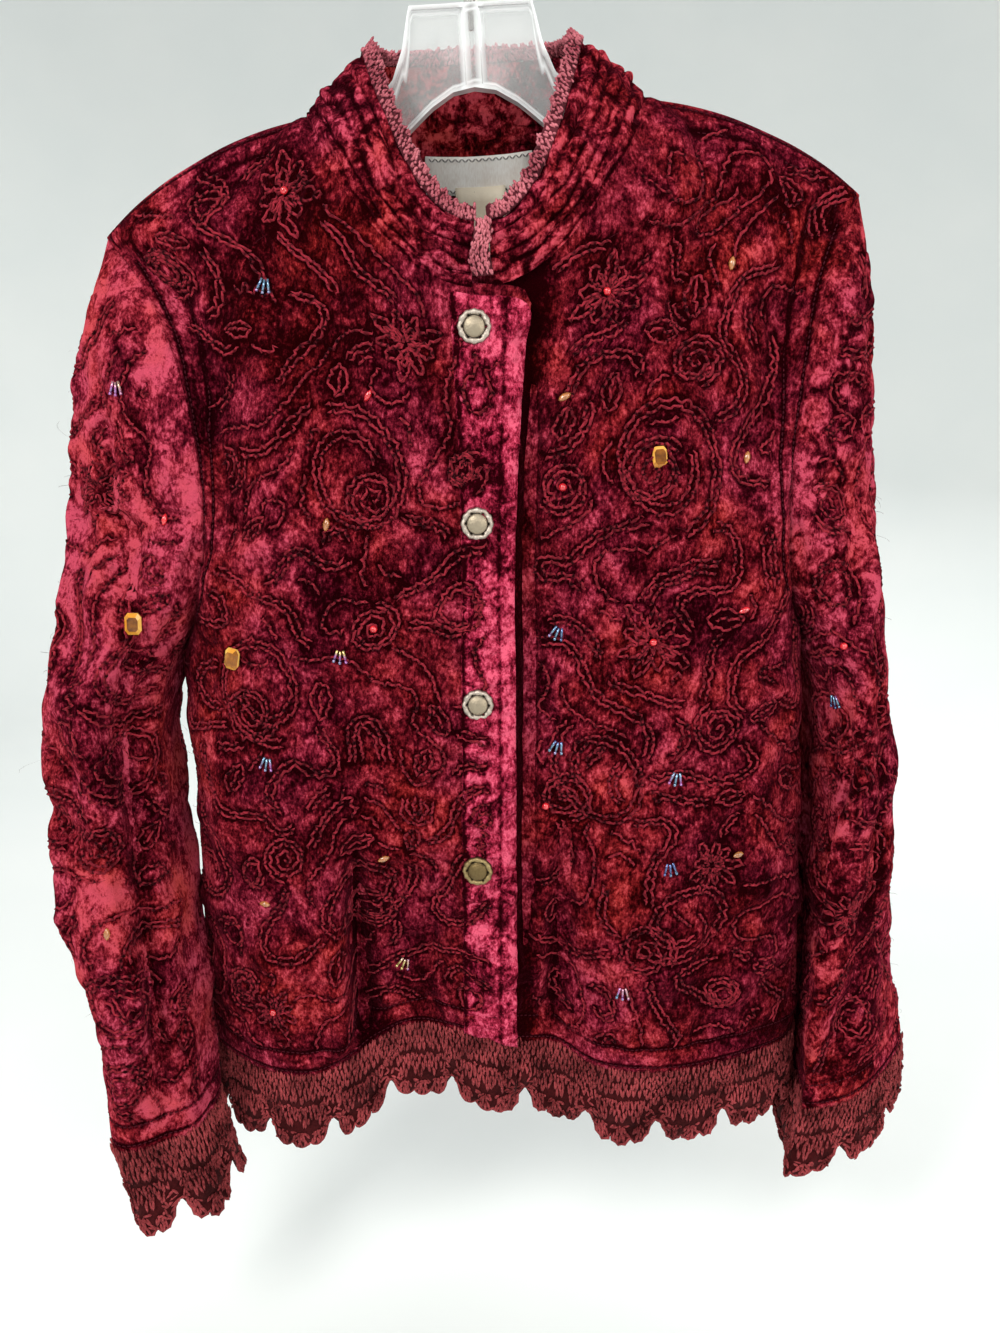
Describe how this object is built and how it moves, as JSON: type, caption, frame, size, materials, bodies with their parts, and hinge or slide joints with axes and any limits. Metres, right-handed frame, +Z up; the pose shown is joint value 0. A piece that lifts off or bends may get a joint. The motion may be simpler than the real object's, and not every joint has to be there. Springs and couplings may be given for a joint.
{
  "type": "velvet jacket on a hanger",
  "caption": "Hip-length velvet jacket with raised cord embroidery, stand collar, metal buttons and crochet lace at hem and cuffs, hanging from a clear plastic hanger.",
  "frame": {"origin": "where the inside top of the hanger's hook rests on its rod", "axes": "+Z up, -Y is the jacket's front, +X is the wearer's left"},
  "size_m": [0.5635, 0.1851, 0.799],
  "materials": {
    "velvet": "crushed burgundy velvet, mottled, with a soft pile",
    "crochet": "dusty maroon cotton yarn, crocheted",
    "pink_crochet": "dusty pink cotton yarn, crocheted",
    "antique_metal": "antiqued cast metal, dark in the hollows",
    "amber_stone": "step-cut amber glass",
    "woven_tape": "cream woven tape",
    "clear_plastic": "clear moulded plastic, slightly cloudy",
    "hook_wire": "bright drawn wire"
  },
  "bodies": {
    "root": {"front_right": "velvet", "front_left": "velvet", "back": "velvet", "front_band": "velvet", "sleeve_right": "velvet", "sleeve_left": "velvet", "collar": "velvet", "collar_trim": "pink_crochet", "collar_end_trim": "pink_crochet", "hem_lace_right": "crochet", "hem_lace_left": "crochet", "hem_lace_back": "crochet", "cuff_lace_right": "crochet", "cuff_lace_left": "crochet", "button_1": "antique_metal", "button_2": "antique_metal", "button_3": "antique_metal", "button_4": "antique_metal", "stone_sleeve": "amber_stone", "stone_right": "amber_stone", "stone_left": "amber_stone", "neck_label": "woven_tape", "size_tag": "woven_tape", "hanger": "clear_plastic", "hook": "hook_wire"}
  },
  "joints": []
}
